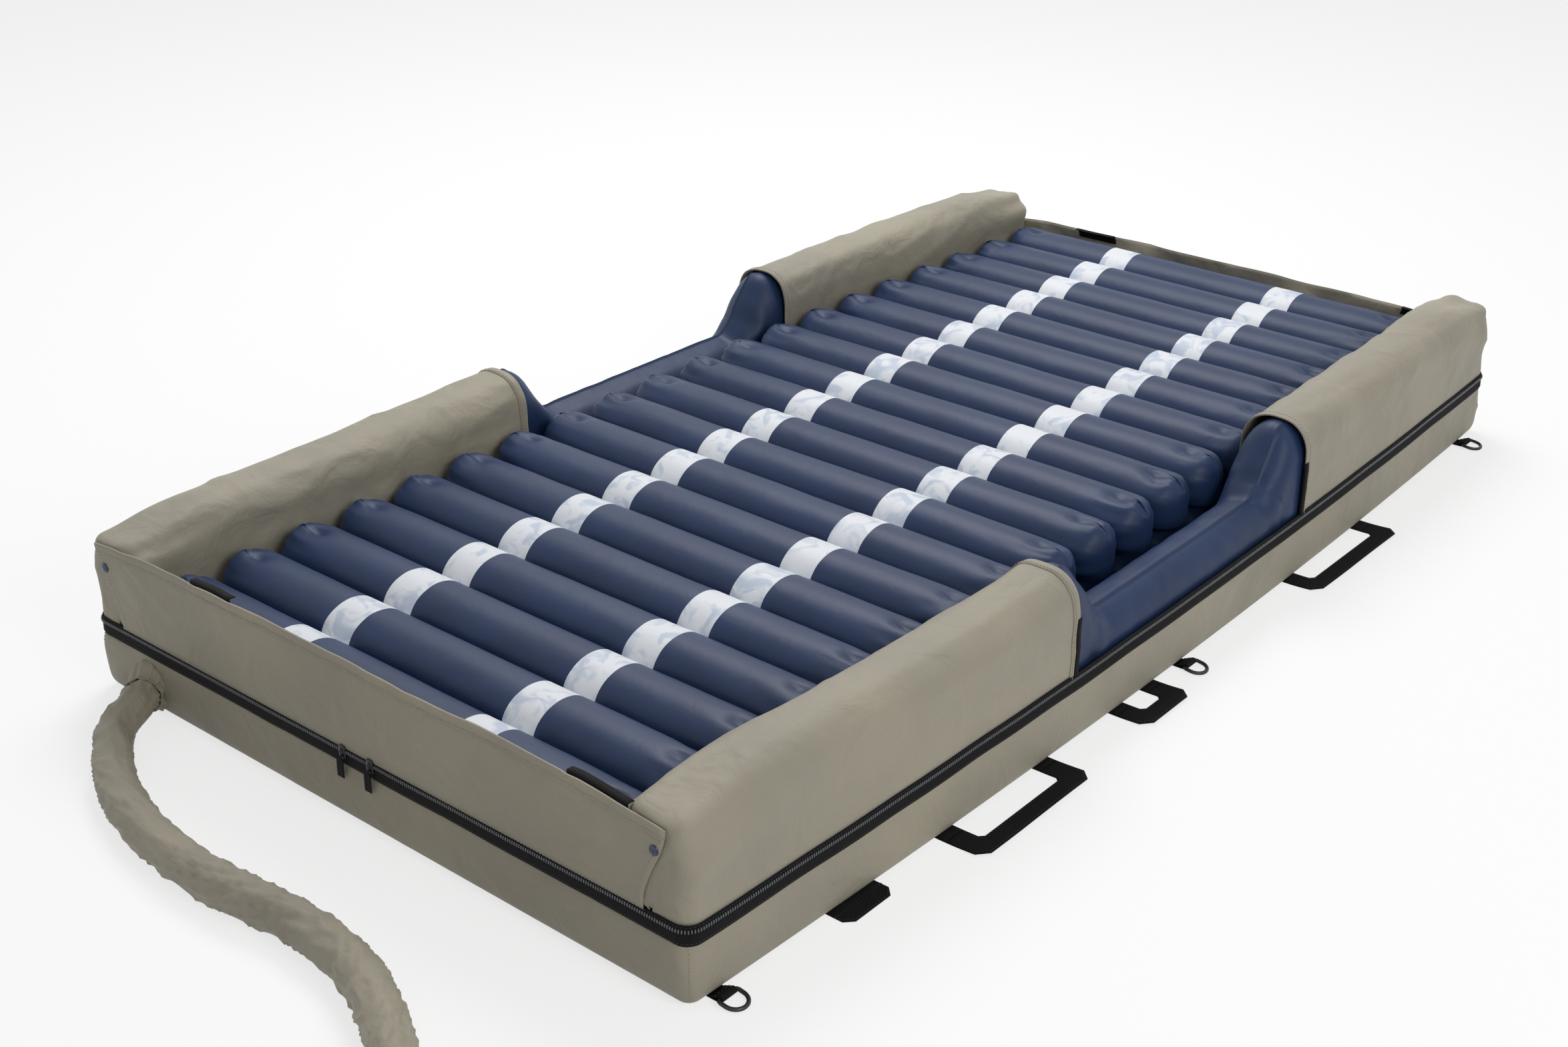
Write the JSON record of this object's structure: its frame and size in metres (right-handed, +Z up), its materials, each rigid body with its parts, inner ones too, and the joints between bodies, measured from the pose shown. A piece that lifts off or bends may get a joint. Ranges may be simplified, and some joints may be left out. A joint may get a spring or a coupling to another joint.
{
  "type": "pressure relief mattress",
  "caption": "Long low mattress of side-by-side air cells in a zipped grey cover, with raised side bolsters, carry loops, rings and an air hose.",
  "frame": {"origin": "on the floor under the middle of the mattress, its free hose left out", "axes": "+Z up; +Y from the foot end to the head end, along the length; +X to the right seen from the foot end"},
  "size_m": [1.2114, 2.4414, 0.25],
  "materials": {
    "grey_nylon": "coated grey nylon, low sheen",
    "navy_tpu_film": "navy TPU-coated fabric, satin",
    "black_webbing": "matte woven webbing",
    "black_plastic": "moulded acetal, satin",
    "dark_stud": "dark lacquered press stud",
    "soft_pvc_tube": "soft clear PVC"
  },
  "bodies": {
    "mattress": {"base_cover": "grey_nylon", "foot_end_panel": "grey_nylon", "head_end_panel": "grey_nylon", "bolster_sleeve_left_foot": "grey_nylon", "bolster_sleeve_left_head": "grey_nylon", "bolster_sleeve_right_foot": "grey_nylon", "bolster_sleeve_right_head": "grey_nylon", "side_bolster_left": "navy_tpu_film", "side_bolster_right": "navy_tpu_film", "air_cell_01": "navy_tpu_film", "air_cell_02": "navy_tpu_film", "air_cell_03": "navy_tpu_film", "air_cell_04": "navy_tpu_film", "air_cell_05": "navy_tpu_film", "air_cell_06": "navy_tpu_film", "air_cell_07": "navy_tpu_film", "air_cell_08": "navy_tpu_film", "air_cell_09": "navy_tpu_film", "air_cell_10": "navy_tpu_film", "air_cell_11": "navy_tpu_film", "air_cell_12": "navy_tpu_film", "air_cell_13": "navy_tpu_film", "air_cell_14": "navy_tpu_film", "air_cell_15": "navy_tpu_film", "air_cell_16": "navy_tpu_film", "air_cell_17": "navy_tpu_film", "air_cell_18": "navy_tpu_film", "air_cell_19": "navy_tpu_film", "air_cell_20": "navy_tpu_film", "zipper_tape": "black_webbing", "twin_air_line": "soft_pvc_tube", "d_ring_tab_left_foot": "black_webbing", "d_ring_tab_left_middle": "black_webbing", "d_ring_tab_left_head": "black_webbing", "d_ring_tab_right_foot": "black_webbing", "d_ring_tab_right_middle": "black_webbing", "d_ring_tab_right_head": "black_webbing", "press_stud_left": "dark_stud", "press_stud_right": "dark_stud", "hose_cuff": "grey_nylon", "hose_sleeve": "grey_nylon", "hose_connector": "black_plastic"},
    "strap_loop_left_foot": {"strap_loop_left_foot": "black_webbing"},
    "strap_loop_right_foot": {"strap_loop_right_foot": "black_webbing"},
    "carry_handle_left_foot": {"carry_handle_left_foot": "black_webbing"},
    "carry_handle_right_foot": {"carry_handle_right_foot": "black_webbing"},
    "strap_loop_left_middle": {"strap_loop_left_middle": "black_webbing"},
    "strap_loop_right_middle": {"strap_loop_right_middle": "black_webbing"},
    "carry_handle_left_head": {"carry_handle_left_head": "black_webbing"},
    "carry_handle_right_head": {"carry_handle_right_head": "black_webbing"},
    "d_ring_left_foot": {"d_ring_left_foot": "black_plastic"},
    "d_ring_right_foot": {"d_ring_right_foot": "black_plastic"},
    "d_ring_left_middle": {"d_ring_left_middle": "black_plastic"},
    "d_ring_right_middle": {"d_ring_right_middle": "black_plastic"},
    "d_ring_left_head": {"d_ring_left_head": "black_plastic"},
    "d_ring_right_head": {"d_ring_right_head": "black_plastic"},
    "zip_slider_left": {"zip_slider_left": "black_plastic"},
    "zip_pull_tab_left": {"zip_pull_tab_left": "black_webbing"},
    "zip_slider_right": {"zip_slider_right": "black_plastic"},
    "zip_pull_tab_right": {"zip_pull_tab_right": "black_webbing"}
  },
  "joints": [
    {"name": "strap_loop_left_foot_fold", "type": "hinge", "parent": "mattress", "child": "strap_loop_left_foot", "pos_m": [-0.54194, -0.73, 0.0022], "axis": [0, 1, 0], "range_deg": [0, 85]},
    {"name": "strap_loop_right_foot_fold", "type": "hinge", "parent": "mattress", "child": "strap_loop_right_foot", "pos_m": [0.54194, -0.73, 0.0022], "axis": [0, -1, 0], "range_deg": [0, 85]},
    {"name": "carry_handle_left_foot_fold", "type": "hinge", "parent": "mattress", "child": "carry_handle_left_foot", "pos_m": [-0.54774, -0.455, 0.0022], "axis": [0, 1, 0], "range_deg": [0, 85]},
    {"name": "carry_handle_right_foot_fold", "type": "hinge", "parent": "mattress", "child": "carry_handle_right_foot", "pos_m": [0.54774, -0.455, 0.0022], "axis": [0, -1, 0], "range_deg": [0, 85]},
    {"name": "strap_loop_left_middle_fold", "type": "hinge", "parent": "mattress", "child": "strap_loop_left_middle", "pos_m": [-0.54853, -0.14, 0.0022], "axis": [0, 1, 0], "range_deg": [0, 85]},
    {"name": "strap_loop_right_middle_fold", "type": "hinge", "parent": "mattress", "child": "strap_loop_right_middle", "pos_m": [0.54853, -0.14, 0.0022], "axis": [0, -1, 0], "range_deg": [0, 85]},
    {"name": "carry_handle_left_head_fold", "type": "hinge", "parent": "mattress", "child": "carry_handle_left_head", "pos_m": [-0.54412, 0.417, 0.0022], "axis": [0, 1, 0], "range_deg": [0, 85]},
    {"name": "carry_handle_right_head_fold", "type": "hinge", "parent": "mattress", "child": "carry_handle_right_head", "pos_m": [0.54412, 0.417, 0.0022], "axis": [0, -1, 0], "range_deg": [0, 85]},
    {"name": "d_ring_left_foot_turn", "type": "hinge", "parent": "mattress", "child": "d_ring_left_foot", "pos_m": [-0.54221, -0.955, 0.0064], "axis": [0, 1, 0], "range_deg": [0, 90]},
    {"name": "d_ring_right_foot_turn", "type": "hinge", "parent": "mattress", "child": "d_ring_right_foot", "pos_m": [0.54221, -0.955, 0.0064], "axis": [0, -1, 0], "range_deg": [0, 90]},
    {"name": "d_ring_left_middle_turn", "type": "hinge", "parent": "mattress", "child": "d_ring_left_middle", "pos_m": [-0.55664, -0.022, 0.0064], "axis": [0, 1, 0], "range_deg": [0, 90]},
    {"name": "d_ring_right_middle_turn", "type": "hinge", "parent": "mattress", "child": "d_ring_right_middle", "pos_m": [0.55664, -0.022, 0.0064], "axis": [0, -1, 0], "range_deg": [0, 90]},
    {"name": "d_ring_left_head_turn", "type": "hinge", "parent": "mattress", "child": "d_ring_left_head", "pos_m": [-0.5301, 0.93, 0.0064], "axis": [0, 1, 0], "range_deg": [0, 90]},
    {"name": "d_ring_right_head_turn", "type": "hinge", "parent": "mattress", "child": "d_ring_right_head", "pos_m": [0.5301, 0.93, 0.0064], "axis": [0, -1, 0], "range_deg": [0, 90]},
    {"name": "zip_slider_left_run", "type": "slide", "parent": "mattress", "child": "zip_slider_left", "axis": [-1, 0, 0], "range_m": [0, 0.35]},
    {"name": "zip_pull_tab_left_swing", "type": "hinge", "parent": "zip_slider_left", "child": "zip_pull_tab_left", "pos_m": [-0.022, -1.0085, 0.098], "axis": [-1, 0, 0], "range_deg": [0, 150]},
    {"name": "zip_slider_right_run", "type": "slide", "parent": "mattress", "child": "zip_slider_right", "axis": [1, 0, 0], "range_m": [0, 0.35]},
    {"name": "zip_pull_tab_right_swing", "type": "hinge", "parent": "zip_slider_right", "child": "zip_pull_tab_right", "pos_m": [0.028, -1.0085, 0.098], "axis": [-1, 0, 0], "range_deg": [0, 150]}
  ]
}
